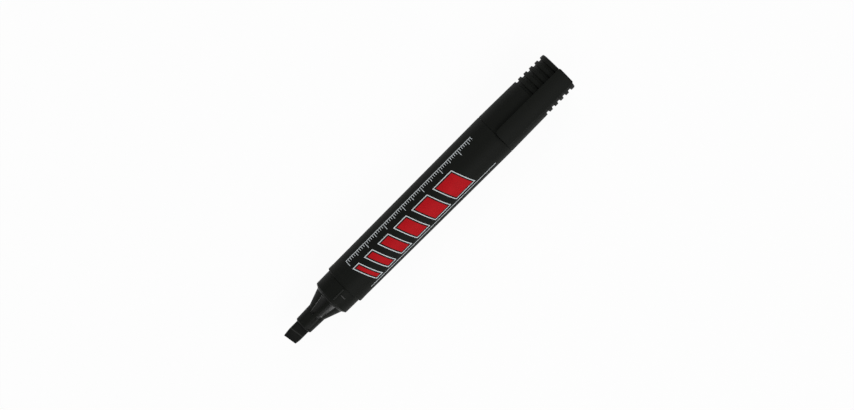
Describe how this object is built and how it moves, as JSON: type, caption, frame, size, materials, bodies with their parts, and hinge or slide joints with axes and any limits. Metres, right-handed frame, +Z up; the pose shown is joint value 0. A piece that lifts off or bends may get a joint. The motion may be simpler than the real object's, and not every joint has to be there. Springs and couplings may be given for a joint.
{
  "type": "chisel tip marker",
  "caption": "Black broad marker with a chisel fibre nib in a pocketed holder, a round tapered barrel holding an ink reservoir, and a ribbed clip cap pushed onto its tail.",
  "frame": {"origin": "on the surface that the marker lies on, under the middle of its length", "axes": "+X along the marker from the nib to the closed end of the cap, +Z up, with the clip on top"},
  "size_m": [0.1466, 0.0182, 0.02],
  "materials": {
    "barrel_plastic": "satin black moulded polypropylene with screen print",
    "holder_plastic": "glossy black moulded polypropylene",
    "nib_felt": "pressed polyester fibre soaked with black ink",
    "reservoir_fibre": "polyester fibre bundle soaked with black ink",
    "wrap_film": "thin clear film",
    "plug_plastic": "satin black moulded polypropylene",
    "cap_plastic": "satin black moulded polypropylene",
    "liner_plastic": "natural white moulded polyethylene"
  },
  "bodies": {
    "pen": {"barrel": "barrel_plastic", "nib_holder": "holder_plastic", "nib": "nib_felt", "ink_reservoir": "reservoir_fibre", "reservoir_film": "wrap_film", "tail_plug": "plug_plastic"},
    "cap": {"cap": "cap_plastic", "inner_cap": "liner_plastic"}
  },
  "joints": [
    {"name": "cap_pull", "type": "slide", "parent": "pen", "child": "cap", "axis": [1, 0, 0], "range_m": [0, 0.04]}
  ]
}
